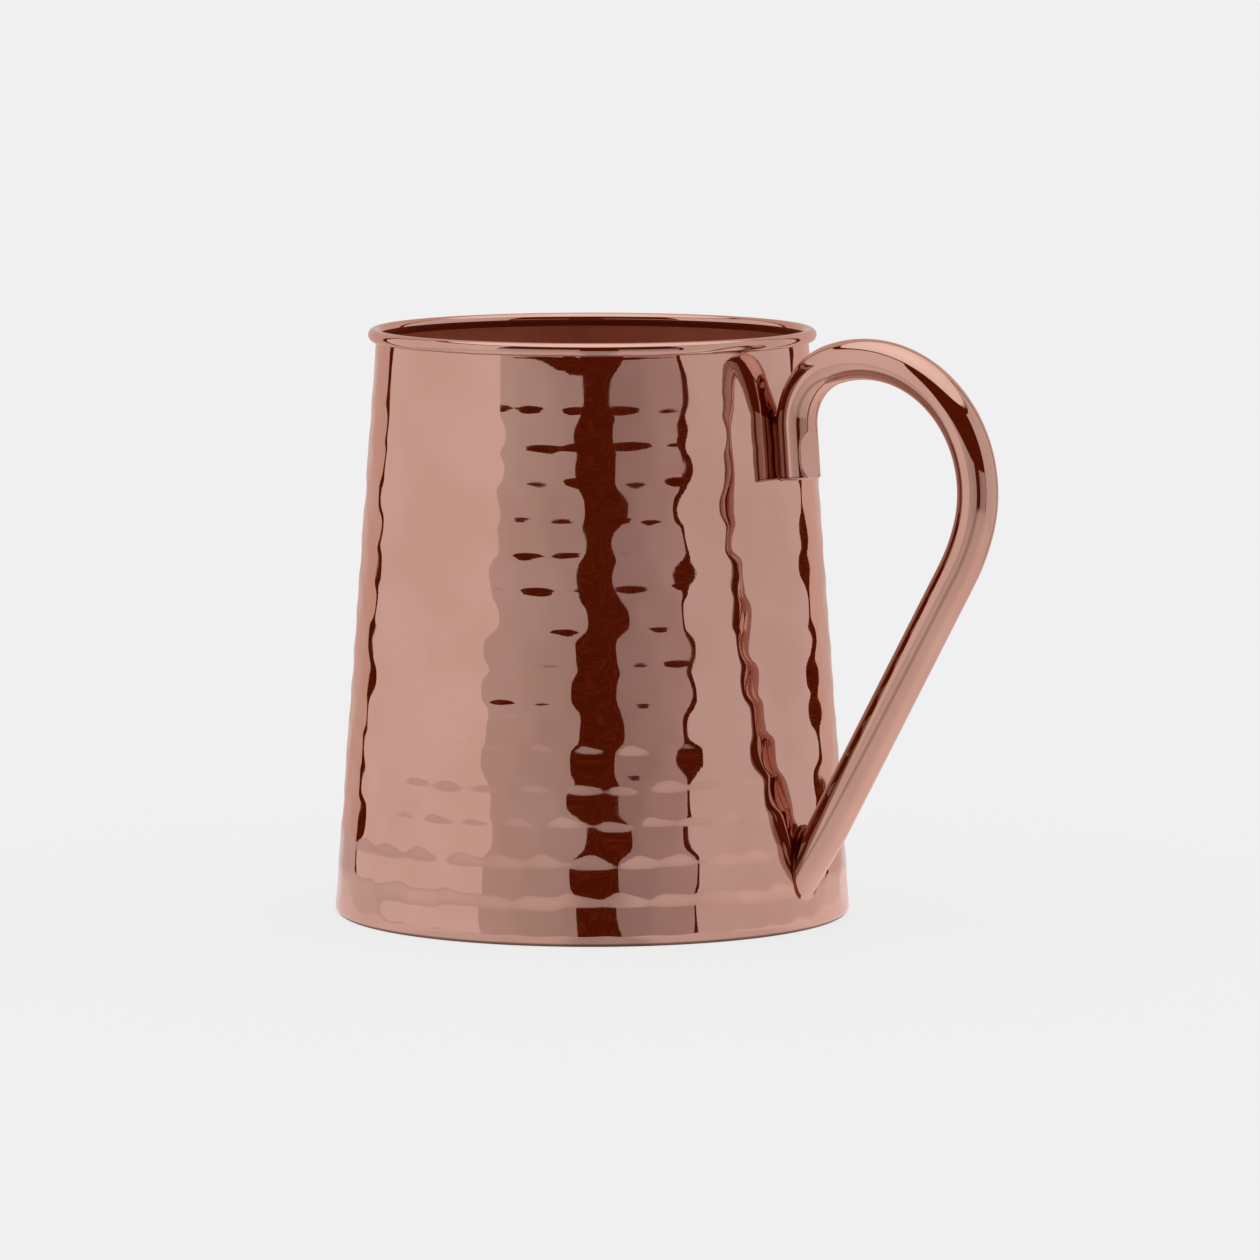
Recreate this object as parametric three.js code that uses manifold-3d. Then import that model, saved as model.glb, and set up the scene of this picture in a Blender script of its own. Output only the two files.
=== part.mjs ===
// A hammered copper mug: a tapered sheet wall with a wired, rolled rim, a joggled base plate soldered
// inside the turned-in foot, and a round bar handle brazed to the wall at its tail and at its foot.
// Millimetres, +Z up. The origin is on the mug's axis, in the plane it stands on. The handle is on +X.
import * as THREE from "three";
import { mergeVertices } from "three/addons/utils/BufferGeometryUtils.js";
import Module from "manifold-3d";

const wasm = await Module();
wasm.setup();

// The wall, a cone of copper sheet.
const MUG_HEIGHT = 108; // foot to the top of the rolled rim
const BASE_RADIUS = 47.5; // outside of the wall, where it is widest
const NECK_RADIUS = 39.7; // outside of the wall, just under the rim
const SHEET = 0.7;

// The rolled rim: the sheet curled outwards round a wire.
const WIRE_RADIUS = 0.45;
const WIRE_CLEARANCE = 0.05;
const CURL_STAND_IN = 0.25; // how far the curl stands in from the inside of the wall
const CURL_TIP_ANGLE = THREE.MathUtils.degToRad(-95); // where the curl stops, short of the wall
const CURL_ROOT_ANGLE = THREE.MathUtils.degToRad(226); // where the wall's outside face becomes the bore

// The foot, turned in under the base plate.
const FOOT_BEND_RADIUS = 1.5; // outside of the bend
const FOOT_LIP_WIDTH = 5.5; // how far the wall turns in under the mug
const PLATE = 0.9;
const PLATE_SEAT_GAP = 0.1; // solder film between lip and plate
const PLATE_EDGE_GAP = 0.25; // plate's centre panel to the lip's edge
const PLATE_RIM_INSET = 0.75; // plate's edge to the inside of the wall
const SEAM_WIDTH = 2.1;
const SEAM_HEIGHT = 1.7;
const SEAM_GAP = 0.05;

// The handle, one round bar: tail down the wall, three bends, then straight to the foot.
const BAR_RADIUS = 3.7;
const TAIL_END_DROP = 25.7; // mug's top to the tail's cut end
const TAIL_BEND_DROP = 16.2; // mug's top to where the bar leaves the wall
const TAIL_BEND = { radius: 11.4, angle: THREE.MathUtils.degToRad(76.1) };
const TOP_BEND = { radius: 23.2, angle: THREE.MathUtils.degToRad(123) };
const HIP_BEND_RADIUS = 36.1;
const FOOT_HEIGHT = 10.75; // where the bar's centre line meets the wall
const FOOT_TOE_HEIGHT = 6; // the cut end's feather edge is ground off below this

// The brazed joints.
const BRAZE_GAP = 0.25; // between the bar and the wall
const BRAZE_CLEARANCE = 0.05;
const UPPER_FILLET = { wallHalf: 3.5, topHalf: 2.6, height: 1.6, shortOfEnd: 0.3, beyondBend: 2.4 };
const LOWER_FILLET = { grow: 0.8, height: 1.1, toeDrop: 0.6 };

// How finely the round shapes are faceted.
const TURN_STEPS = 72;
const BAR_SIDES = 16;
const BAR_STEPS = 54;
const ARC_STEP = THREE.MathUtils.degToRad(30);

const boreRadius = WIRE_RADIUS + WIRE_CLEARANCE;
const curlRadius = boreRadius + SHEET;
const neckHeight = MUG_HEIGHT - 2 * curlRadius;
const wallSlope = (BASE_RADIUS - NECK_RADIUS) / (neckHeight - FOOT_BEND_RADIUS);
const wallLean = Math.atan(wallSlope);
const wallRadius = (z) => BASE_RADIUS - wallSlope * (z - FOOT_BEND_RADIUS);
const innerRadius = (z) => wallRadius(z) - SHEET;
const lipRadius = BASE_RADIUS - FOOT_LIP_WIDTH;
const curlSetback = innerRadius(neckHeight) - CURL_STAND_IN + curlRadius;
const curlCentre = new THREE.Vector2(curlSetback, MUG_HEIGHT - curlRadius);

// Points on an arc in the profile plane, from one angle to another, both ends included.
function arc(centre, radius, from, to) {
  const steps = Math.max(2, Math.ceil(Math.abs(to - from) / ARC_STEP));
  const points = [];
  for (let i = 0; i <= steps; i++) {
    const angle = from + ((to - from) * i) / steps;
    const x = centre.x + radius * Math.cos(angle);
    const y = centre.y + radius * Math.sin(angle);
    points.push(new THREE.Vector2(x, y));
  }
  return points;
}

// A closed profile of (radius, height) points turned round the Z axis.
function turned(profile) {
  const closed = [...profile, profile[0].clone()];
  return new THREE.LatheGeometry(closed, TURN_STEPS).rotateX(Math.PI / 2);
}

function solidOf(geometry) {
  const bare = geometry.clone();
  bare.deleteAttribute("normal");
  bare.deleteAttribute("uv");
  const merged = mergeVertices(bare, 1e-3);
  const vertProperties = merged.getAttribute("position").array;
  const triVerts = new Uint32Array(merged.index.array);
  return new wasm.Manifold(new wasm.Mesh({ numProp: 3, vertProperties, triVerts }));
}

function geometryOf(solid) {
  const mesh = solid.getMesh();
  const geometry = new THREE.BufferGeometry();
  geometry.setAttribute("position", new THREE.BufferAttribute(mesh.vertProperties, 3));
  geometry.setIndex(new THREE.BufferAttribute(mesh.triVerts, 1));
  geometry.computeVertexNormals();
  return geometry;
}

function copper(color, roughness) {
  return new THREE.MeshStandardMaterial({ color, roughness, metalness: 1 });
}

const hammeredCopper = copper(0xc68e7c, 0.16);
const polishedCopper = copper(0xc88f7d, 0.1);
const insideCopper = copper(0xb77d6a, 0.3);
const brazeCopper = copper(0xc28a74, 0.35);
const steelWire = copper(0x9a9c9e, 0.4);

const mug = new THREE.Group();

function add(name, geometry, material) {
  const mesh = new THREE.Mesh(geometry, material);
  mesh.name = name;
  mug.add(mesh);
}

// The wall: outside face up to the curl, round inside the curl and back over it, then down the inside
// face, round the bend in the foot and along the lip.
function wallProfile() {
  const footCentre = new THREE.Vector2(BASE_RADIUS - FOOT_BEND_RADIUS, FOOT_BEND_RADIUS);
  const down = -Math.PI / 2;
  const outside = [new THREE.Vector2(lipRadius, 0)];
  outside.push(...arc(footCentre, FOOT_BEND_RADIUS, down, 0));
  outside.push(new THREE.Vector2(wallRadius(neckHeight), neckHeight));
  const bore = arc(curlCentre, boreRadius, CURL_ROOT_ANGLE, CURL_TIP_ANGLE);
  const curl = arc(curlCentre, curlRadius, CURL_TIP_ANGLE, Math.PI);
  const inside = [new THREE.Vector2(innerRadius(neckHeight), neckHeight)];
  inside.push(...arc(footCentre, FOOT_BEND_RADIUS - SHEET, 0, down));
  inside.push(new THREE.Vector2(lipRadius, SHEET));
  return [...outside, ...bore, ...curl, ...inside];
}

function rimWire() {
  const section = arc(curlCentre, WIRE_RADIUS, 0, 2 * Math.PI);
  section.pop();
  return turned(section);
}

// The base plate: its rim sits on the lip, and its centre panel drops level with the foot.
const plateSeat = SHEET + PLATE_SEAT_GAP;
const plateTop = plateSeat + PLATE;
const plateRadius = innerRadius(FOOT_BEND_RADIUS) - PLATE_RIM_INSET;

function platePanel() {
  const panel = lipRadius - PLATE_EDGE_GAP;
  const step = panel - PLATE;
  const corner = 0.3 * PLATE;
  const outline = [
    [0, 0],
    [panel - corner, 0],
    [panel, corner],
    [panel, plateSeat],
    [plateRadius, plateSeat],
    [plateRadius, plateTop],
    [step + corner, plateTop],
    [step, plateTop - corner],
    [step, PLATE],
    [0, PLATE],
  ];
  const points = outline.map(([r, z]) => new THREE.Vector2(r, z));
  return new THREE.LatheGeometry(points, TURN_STEPS).rotateX(Math.PI / 2);
}

// A hollow fillet of solder in the corner between the plate's top and the inside of the wall.
function solderSeam() {
  const bottom = plateTop + SEAM_GAP;
  const top = bottom + SEAM_HEIGHT;
  const toe = new THREE.Vector2(innerRadius(bottom) - SEAM_GAP - SEAM_WIDTH, bottom);
  const heel = new THREE.Vector2(innerRadius(bottom) - SEAM_GAP, bottom);
  const peak = new THREE.Vector2(innerRadius(top) - SEAM_GAP, top);
  const edge = 0.15;
  const hollow = new THREE.QuadraticBezierCurve(
    new THREE.Vector2(peak.x - edge, peak.y),
    new THREE.Vector2(heel.x - 0.3 * SEAM_WIDTH, bottom + 0.3 * SEAM_HEIGHT),
    new THREE.Vector2(toe.x, toe.y + edge),
  );
  return turned([toe, heel, peak, ...hollow.getPoints(5)]);
}

// The bar's centre line in the handle's plane, X out from the axis and Y up. Headings are angles from X,
// and each bend turns clockwise.
const rightOf = (heading) => new THREE.Vector2(Math.sin(heading), -Math.cos(heading));
const ahead = (heading) => new THREE.Vector2(Math.cos(heading), Math.sin(heading));
const tailOffset = (BAR_RADIUS + BRAZE_GAP) / Math.cos(wallLean);

function onTail(drop) {
  const z = MUG_HEIGHT - drop;
  return new THREE.Vector2(wallRadius(z) + tailOffset, z);
}

function bendFrom(start, heading, bend) {
  const centre = start.clone().addScaledVector(rightOf(heading), bend.radius);
  const endHeading = heading - bend.angle;
  const end = centre.clone().addScaledVector(rightOf(endHeading), -bend.radius);
  return { start, heading, bend, centre, end, endHeading };
}

const tailHeading = Math.PI / 2 + wallLean;
const tailEnd = onTail(TAIL_END_DROP);
const tailTop = onTail(TAIL_BEND_DROP);
const footPoint = new THREE.Vector2(wallRadius(FOOT_HEIGHT), FOOT_HEIGHT);
const firstBend = bendFrom(tailTop, tailHeading, TAIL_BEND);
const secondBend = bendFrom(firstBend.end, firstBend.endHeading, TOP_BEND);

// The last bend turns until the bar points at its foot.
function lastBend() {
  const { end, endHeading } = secondBend;
  const centre = end.clone().addScaledVector(rightOf(endHeading), HIP_BEND_RADIUS);
  const toFoot = footPoint.clone().sub(centre);
  const straight = Math.sqrt(toFoot.lengthSq() - HIP_BEND_RADIUS ** 2);
  const lineHeading = Math.atan2(toFoot.y, toFoot.x) - Math.atan2(HIP_BEND_RADIUS, straight);
  const angle = THREE.MathUtils.euclideanModulo(endHeading - lineHeading, 2 * Math.PI);
  return bendFrom(end, endHeading, { radius: HIP_BEND_RADIUS, angle });
}

const thirdBend = lastBend();
const footRun = BAR_RADIUS / Math.tan(thirdBend.endHeading + Math.PI / 2 - wallLean);
const footOverrun = Math.abs(footRun) + BAR_RADIUS;
const straightEnd = footPoint.clone().addScaledVector(ahead(thirdBend.endHeading), footOverrun);

// The whole centre line as one curve, measured by its true length.
class BarLine extends THREE.Curve {
  constructor(stretches) {
    super();
    this.stretches = stretches;
    this.total = stretches.reduce((sum, stretch) => sum + stretch.length, 0);
  }

  getPoint(t) {
    let left = t * this.total;
    let stretch = this.stretches[0];
    for (stretch of this.stretches) {
      if (left <= stretch.length) break;
      left -= stretch.length;
    }
    const flat = stretch.at(Math.min(left, stretch.length));
    return new THREE.Vector3(flat.x, 0, flat.y);
  }
}

function straightStretch(from, to) {
  const length = from.distanceTo(to);
  return { length, at: (s) => from.clone().lerp(to, s / length) };
}

function bentStretch({ heading, bend, centre }) {
  const at = (s) => {
    const turnedTo = heading - s / bend.radius;
    return centre.clone().addScaledVector(rightOf(turnedTo), -bend.radius);
  };
  return { length: bend.radius * bend.angle, at };
}

// A round bar of some radius along a run of stretches.
function barAlong(stretches, radius, steps) {
  const section = new THREE.Shape();
  for (let i = 0; i < BAR_SIDES; i++) {
    const angle = (2 * Math.PI * i) / BAR_SIDES;
    const point = [radius * Math.cos(angle), radius * Math.sin(angle)];
    if (i === 0) section.moveTo(...point);
    else section.lineTo(...point);
  }
  const extrudePath = new BarLine(stretches);
  return solidOf(new THREE.ExtrudeGeometry(section, { steps, extrudePath, curveSegments: 1 }));
}

// The solid of everything inside the wall's outer face, grown by a gap.
function insideWall(gap) {
  const below = -10;
  const above = neckHeight - curlRadius;
  const outline = [
    new THREE.Vector2(0, below),
    new THREE.Vector2(wallRadius(below) + gap, below),
    new THREE.Vector2(wallRadius(above) + gap, above),
    new THREE.Vector2(0, above),
  ];
  return solidOf(new THREE.LatheGeometry(outline, TURN_STEPS).rotateX(Math.PI / 2));
}

// A block that holds everything below a height.
function below(height) {
  const size = 4 * BASE_RADIUS;
  const block = new THREE.BoxGeometry(size, size, size);
  return solidOf(block.translate(size / 2, 0, height - size / 2));
}

const tailStretch = straightStretch(tailEnd, tailTop);
const wholeBar = [
  tailStretch,
  bentStretch(firstBend),
  bentStretch(secondBend),
  bentStretch(thirdBend),
  straightStretch(thirdBend.end, straightEnd),
];

function handleBar() {
  const bar = barAlong(wholeBar, BAR_RADIUS, BAR_STEPS);
  return geometryOf(bar.subtract(insideWall(BRAZE_GAP)).subtract(below(FOOT_TOE_HEIGHT)));
}

// Braze along both sides of the tail, and under it where the bar lies on the wall.
function upperBraze() {
  const { wallHalf, topHalf, height, shortOfEnd, beyondBend } = UPPER_FILLET;
  const bottomEnd = MUG_HEIGHT - TAIL_END_DROP + shortOfEnd;
  const topEnd = MUG_HEIGHT - TAIL_BEND_DROP + beyondBend;
  const sunk = 2 * SHEET;
  const section = new THREE.Shape([
    new THREE.Vector2(-wallHalf, -sunk),
    new THREE.Vector2(wallHalf, -sunk),
    new THREE.Vector2(wallHalf, 0),
    new THREE.Vector2(topHalf, height),
    new THREE.Vector2(-topHalf, height),
    new THREE.Vector2(-wallHalf, 0),
  ]);
  const depth = (topEnd - bottomEnd) / Math.cos(wallLean);
  const block = new THREE.ExtrudeGeometry(section, { depth, bevelEnabled: false });
  const across = new THREE.Vector3(0, -1, 0);
  const outward = new THREE.Vector3(Math.cos(wallLean), 0, Math.sin(wallLean));
  const along = new THREE.Vector3(-Math.sin(wallLean), 0, Math.cos(wallLean));
  block.applyMatrix4(new THREE.Matrix4().makeBasis(across, outward, along));
  block.translate(wallRadius(bottomEnd), 0, bottomEnd);
  const bar = barAlong(wholeBar, BAR_RADIUS + BRAZE_CLEARANCE, BAR_STEPS);
  return geometryOf(solidOf(block).subtract(bar).subtract(insideWall(BRAZE_CLEARANCE)));
}

// A collar of braze round the slanting cut where the bar's foot meets the wall.
function lowerBraze() {
  const { grow, height, toeDrop } = LOWER_FILLET;
  const straight = [straightStretch(thirdBend.end, straightEnd)];
  const collar = barAlong(straight, BAR_RADIUS + grow, 1);
  const bar = barAlong(straight, BAR_RADIUS + BRAZE_CLEARANCE, 1).subtract(
    insideWall(BRAZE_GAP - BRAZE_CLEARANCE),
  );
  const layer = collar.intersect(insideWall(height)).subtract(insideWall(BRAZE_CLEARANCE));
  return geometryOf(layer.subtract(bar).subtract(below(FOOT_TOE_HEIGHT - toeDrop)));
}

add("body_wall", turned(wallProfile()), hammeredCopper);
add("rim_wire", rimWire(), steelWire);
add("base_plate", platePanel(), insideCopper);
add("base_solder_seam", solderSeam(), brazeCopper);
add("handle_bar", handleBar(), polishedCopper);
add("upper_handle_braze", upperBraze(), brazeCopper);
add("lower_handle_braze", lowerBraze(), brazeCopper);

export default mug;
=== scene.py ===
"""A hammered copper mug: a tapered wall with a rolled rim, its base, and a bent bar handle brazed on."""

import math
import random

import bpy
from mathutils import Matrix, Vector, noise


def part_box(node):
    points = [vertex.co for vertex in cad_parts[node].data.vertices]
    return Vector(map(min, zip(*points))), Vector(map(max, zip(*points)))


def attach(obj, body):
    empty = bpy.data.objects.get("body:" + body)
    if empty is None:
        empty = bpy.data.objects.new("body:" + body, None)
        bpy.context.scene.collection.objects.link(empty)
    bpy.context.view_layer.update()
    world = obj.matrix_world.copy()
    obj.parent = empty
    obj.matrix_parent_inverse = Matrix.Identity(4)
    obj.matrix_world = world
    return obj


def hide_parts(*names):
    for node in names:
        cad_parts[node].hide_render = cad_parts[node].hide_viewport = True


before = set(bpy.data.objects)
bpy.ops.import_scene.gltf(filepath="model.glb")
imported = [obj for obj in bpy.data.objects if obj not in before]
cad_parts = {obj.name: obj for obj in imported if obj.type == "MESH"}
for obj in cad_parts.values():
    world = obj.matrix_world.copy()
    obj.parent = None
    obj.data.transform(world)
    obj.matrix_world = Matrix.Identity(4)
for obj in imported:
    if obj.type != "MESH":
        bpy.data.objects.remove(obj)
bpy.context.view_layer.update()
WALL_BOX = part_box("body_wall")
BAR_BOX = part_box("handle_bar")
PLATE_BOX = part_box("base_plate")

bl_info = {
    "name": "Hammered copper mug",
    "version": (1, 0, 0),
    "blender": (4, 5, 0),
    "location": "View3D > Sidebar > Mug",
    "description": "A hammered copper mug with a rolled rim and a bar handle, in a plain studio",
    "category": "Add Mesh",
}

MM = 0.001
DEG = math.pi / 180
TURN = 2 * math.pi
SAME_PLACE = 0.002 * MM  # points nearer than this are one


def length(name, description, default):
    return bpy.props.FloatProperty(
        name=name, description=description, default=default, unit="LENGTH", subtype="DISTANCE", precision=5
    )


def turn(name, description, degrees):
    return bpy.props.FloatProperty(
        name=name, description=description, default=degrees * DEG, unit="ROTATION", subtype="ANGLE"
    )


def colour(name, description, default):
    return bpy.props.FloatVectorProperty(
        name=name, description=description, default=default, size=3, min=0, max=1, subtype="COLOR"
    )


def number(name, description, default):
    return bpy.props.FloatProperty(name=name, description=description, default=default, precision=3)


class MugSizes(bpy.types.PropertyGroup):
    """The wall, the rolled rim and the base."""

    height: length("Height", "Foot to the top of the rolled rim", WALL_BOX[1][2])
    foot_radius: length("Foot radius", "Outside of the wall where it is widest", WALL_BOX[1][0])
    neck_radius: length("Neck radius", "Outside of the wall just under the rim", 39.7 * MM)
    sheet: length("Sheet", "Thickness of the copper sheet", 0.7 * MM)
    bore_radius: length("Bore radius", "Inside of the rim's curl, round its wire", 0.5 * MM)
    stand_in: length("Curl stand-in", "How far the curl stands in from the wall's inside", 0.25 * MM)
    foot_bend: length("Foot bend", "Outside radius of the bend in the foot", 1.5 * MM)
    lip_width: length("Lip width", "How far the wall turns in under the mug", 5.5 * MM)
    plate: length("Plate", "Thickness of the base plate", 0.9 * MM)
    plate_radius: length("Plate radius", "Outside of the base plate", PLATE_BOX[1][0])
    plate_top: length("Plate top", "Height of the base plate's rim", PLATE_BOX[1][2])


class HammerMarks(bpy.types.PropertyGroup):
    """The rows of hammer blows round the wall."""

    top: length("Top row", "Height of the highest row's middle", 98.2 * MM)
    pitch: length("Row pitch", "From one row of blows to the next", 6.52 * MM)
    rows: bpy.props.IntProperty(name="Rows", description="Rows of blows", default=15)
    spacing: length("Blow spacing", "From one blow to the next along a row", 8.3 * MM)
    half_width: length("Half width", "Half the width of one blow's hollow", 6.3 * MM)
    half_height: length("Half height", "Half the height of one blow's hollow", 3.6 * MM)
    depth: length("Depth", "Depth of one blow's hollow", 0.182 * MM)
    polish: length("Polish", "How far the ridges between blows are polished down", 0.035 * MM)
    drawn_turn: turn("Drawn-in turn", "Where under the rim the wall is drawn in most", -58.5)
    drawn_width: turn("Drawn-in width", "How far round the wall is drawn in under the rim", 8)
    seed: bpy.props.IntProperty(name="Seed", description="Picks where the blows fall", default=7)


class HandleSizes(bpy.types.PropertyGroup):
    """The bar handle and its brazed joints."""

    bar: length("Bar radius", "Radius of the round bar", BAR_BOX[1][1])
    gap: length("Braze gap", "Between the bar and the wall", 0.25 * MM)
    tail_end: length("Tail end", "Mug's top down to the tail's cut end", 25.7 * MM)
    tail_top: length("Tail top", "Mug's top down to where the bar leaves the wall", 16.2 * MM)
    tail_bend: length("Tail bend", "Radius of the bend above the tail", 11.4 * MM)
    tail_turn: turn("Tail turn", "Turn of the bend above the tail", 76.1)
    top_bend: length("Top bend", "Radius of the wide bend at the top", 23.2 * MM)
    top_turn: turn("Top turn", "Turn of the wide bend at the top", 123)
    hip_bend: length("Hip bend", "Radius of the last, easy bend", 36.1 * MM)
    foot: length("Foot", "Height where the bar's centre line meets the wall", 10.75 * MM)
    toe_filing: length("Toe filing", "How far the foot's underside is filed back", 1.1 * MM)
    fillet: length("Fillet", "Width of the brazed fillets", 0.45 * MM)
    press_depth: length("Press depth", "Depth of the clamped flat on the tail's outer side", 0.75 * MM)
    press_turn: turn("Press turn", "How far the clamped flat is turned to the side", 18)


class MugFinish(bpy.types.PropertyGroup):
    """Colours and polish."""

    copper: colour("Copper", "Colour of the polished copper", (0.625, 0.36, 0.288))
    copper_warm: colour("Warm copper", "Slightly warmer patches in the polish", (0.6, 0.335, 0.262))
    inside: colour("Inside copper", "Colour of the satin copper inside", (0.54, 0.16, 0.085))
    # Painted shade: the braze is coloured dark red-brown so that the crevices where its fillets meet the wall
    # and the bar look shaded.
    braze: colour("Braze", "Colour of the brazing metal", (0.2, 0.035, 0.012))
    solder: colour("Solder", "Colour of the base's solder seam", (0.4, 0.33, 0.29))
    steel: colour("Steel", "Colour of the wire in the rim", (0.5, 0.5, 0.5))
    polish: number("Polish roughness", "Roughness of the polished copper", 0.022)


class Studio(bpy.types.PropertyGroup):
    """The floor, the reflecting cards and the camera."""

    floor: number("Floor", "Brightness of the pale floor", 0.871)
    lens: number("Lens", "Focal length in millimetres", 236.08)
    view_turn: turn("View turn", "Camera's turn from the side of the handle", 34.11)
    distance: length("Distance", "Camera's distance from the mug's axis", 1.51291)
    camera_height: length("Camera height", "Camera's height over the floor", 0.21508)
    pitch: turn("Pitch", "How far the camera looks down", 6.145)
    yaw: turn("Yaw", "How far the camera looks to the right of the mug's axis", 0.262)
    card_distance: length("Card distance", "From the mug's axis to the standing cards", 3.0)
    table_radius: length("Table radius", "Radius of the lit table", 0.32)
    table_forward: length("Table forward", "From the mug's axis to the middle of the lit table", 0.175)
    soft_edge: number("Soft edge", "How far the softbox's edge fades out beyond the handle", 0.28)
    soft_turn: turn("Soft edge turn", "Turn of that fading edge from the camera's right", 25)


# ---------------------------------------------------------------------------------------------------------
# Materials


class Value:
    """A value in a material, on which arithmetic adds Math nodes."""

    def __init__(self, recipe, socket):
        self.recipe = recipe
        self.socket = socket

    def maths(self, operation, *terms):
        inputs = dict(enumerate(terms))
        return self.recipe.add("ShaderNodeMath", {"operation": operation}, inputs)["Value"]

    def __add__(self, other):
        return self.maths("ADD", self, other)

    def __radd__(self, other):
        return self.maths("ADD", other, self)

    def __sub__(self, other):
        return self.maths("SUBTRACT", self, other)

    def __rsub__(self, other):
        return self.maths("SUBTRACT", other, self)

    def __mul__(self, other):
        return self.maths("MULTIPLY", self, other)

    def __rmul__(self, other):
        return self.maths("MULTIPLY", other, self)

    def __truediv__(self, other):
        return self.maths("DIVIDE", self, other)

    def __pow__(self, other):
        return self.maths("POWER", self, other)


class Recipe:
    """A node tree being filled in."""

    def __init__(self, tree):
        self.tree = tree
        tree.nodes.clear()

    def add(self, kind, settings=None, inputs=None):
        """Add a node: its settings first, then its inputs, each a plain value or another node's output."""
        node = self.tree.nodes.new(kind)
        settings = dict(settings or {})
        stops = settings.pop("stops", None)
        for key, value in settings.items():
            setattr(node, key, value)
        if stops:
            self.set_stops(node.color_ramp, stops)
        for key, value in (inputs or {}).items():
            if isinstance(value, Value):
                self.tree.links.new(value.socket, node.inputs[key])
            else:
                node.inputs[key].default_value = value
        return {output.name: Value(self, output) for output in node.outputs if output.enabled}

    def set_stops(self, ramp, stops):
        while len(ramp.elements) < len(stops):
            ramp.elements.new(0.5)
        for element, (place, shade) in zip(ramp.elements, stops):
            element.position = place
            element.color = (*shade, 1) if isinstance(shade, tuple) else (shade, shade, shade, 1)

    def place(self):
        return self.add("ShaderNodeTexCoord")["Object"]

    def stretched(self, scale):
        mapped = self.add("ShaderNodeMapping", None, {"Vector": self.place(), "Scale": scale})
        return mapped["Vector"]

    def speckle(self, size, detail=2.0, roughness=0.5, vector=None):
        """Noise from 0 to 1 whose blotches are about as wide as a size in metres."""
        inputs = {"Scale": 1 / size, "Detail": detail, "Roughness": roughness}
        inputs["Vector"] = vector or self.place()
        return self.add("ShaderNodeTexNoise", None, inputs)["Fac"]

    def between(self, value, low, high, to_low=0.0, to_high=1.0):
        inputs = {"Value": value, 1: low, 2: high, 3: to_low, 4: to_high}
        return self.add("ShaderNodeMapRange", {"interpolation_type": "SMOOTHSTEP"}, inputs)["Result"]

    def blend(self, factor, first, second):
        """Mix two colours, each a plain one or another node's output."""
        first, second = (shade if isinstance(shade, Value) else (*shade, 1) for shade in (first, second))
        inputs = {0: factor, 6: first, 7: second}
        return self.add("ShaderNodeMix", {"data_type": "RGBA"}, inputs)["Result"]

    def vectors(self, operation, *terms):
        return self.add("ShaderNodeVectorMath", {"operation": operation}, dict(enumerate(terms)))

    def seen_twice(self, first=1.0):
        """0 in a first reflection and 1 in a reflection of a reflection, whose light the room evens out."""
        depth = self.add("ShaderNodeLightPath")["Ray Depth"]
        return self.between(depth, first + 0.2, first + 0.8)

    def bump(self, height, distance, strength=1.0, normal=None):
        inputs = {"Height": height, "Distance": distance, "Strength": strength}
        if normal is not None:
            inputs["Normal"] = normal
        return self.add("ShaderNodeBump", None, inputs)["Normal"]


def empty_material(name):
    material = bpy.data.materials.new(name)
    material.use_nodes = True
    return material, Recipe(material.node_tree)


def metal(name, recipe_maker, metallic=1.0):
    """A metal: its base colour, roughness and normal vary; a tarnished one is a little less metallic."""
    material, recipe = empty_material(name)
    shade, roughness, normal = recipe_maker(recipe)
    inputs = {"Base Color": shade, "Metallic": metallic, "Specular Tint": (1.0, 0.88, 0.84, 1)}
    inputs["Roughness"] = roughness
    inputs["Normal"] = normal
    shader = recipe.add("ShaderNodeBsdfPrincipled", None, inputs)["BSDF"]
    recipe.add("ShaderNodeOutputMaterial", None, {"Surface": shader})
    return material


def polished_copper(name, finish, draw_lines, lines_over=None):
    """Mirror-polished copper: faint waves, hairlines and smudges, and turned lines over a height."""

    def recipe_of(recipe):
        patches = recipe.between(recipe.speckle(18 * MM, 3.0), 0.38, 0.62)
        shade = recipe.blend(patches, finish.copper, finish.copper_warm)
        smudges = recipe.between(recipe.speckle(9 * MM, 4.0, 0.6), 0.45, 0.75)
        hairs = recipe.speckle(0.5 * MM, 2.0, 0.6, recipe.stretched(draw_lines))
        roughness = finish.polish + 0.03 * smudges + 0.012 * hairs
        waves = recipe.bump(recipe.speckle(3.2 * MM, 2.0, 0.45), 0.005 * MM)
        normal = recipe.bump(hairs, 0.0008 * MM, 1.0, waves)
        if lines_over:
            height = recipe.add("ShaderNodeSeparateXYZ", None, {"Vector": recipe.place()})["Z"]
            near_rim = recipe.between(height, lines_over, lines_over + 3.5 * MM)
            turned = recipe.speckle(0.45 * MM, 2.0, 0.5, recipe.stretched((0.03, 0.03, 1.0)))
            normal = recipe.bump(turned * near_rim, 0.004 * MM, 1.0, normal)
        return shade, roughness, normal

    return metal(name, recipe_of)


def satin_copper(name, finish, flat=False):
    """Satin copper, slightly darker in patches: fine rings from the buff, round a wall or a flat disc."""

    def recipe_of(recipe):
        patches = recipe.between(recipe.speckle(14 * MM, 4.0, 0.55), 0.35, 0.7)
        dark = tuple(0.82 * part for part in finish.inside)
        shade = recipe.blend(patches, finish.inside, dark)
        along = recipe.stretched((0.04, 0.04, 1.0))
        if flat:
            radius = recipe.vectors("LENGTH", recipe.place())["Value"]
            round_axis = recipe.add("ShaderNodeCombineXYZ", None, {"Z": radius})["Vector"]
            along = recipe.vectors("ADD", along, round_axis)["Vector"]
        rings = recipe.speckle(0.6 * MM, 3.0, 0.6, along)
        roughness = 0.34 + 0.12 * rings + 0.06 * patches
        normal = recipe.bump(rings, 0.006 * MM)
        return shade, roughness, normal

    return metal(name, recipe_of, 0.8)


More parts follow.
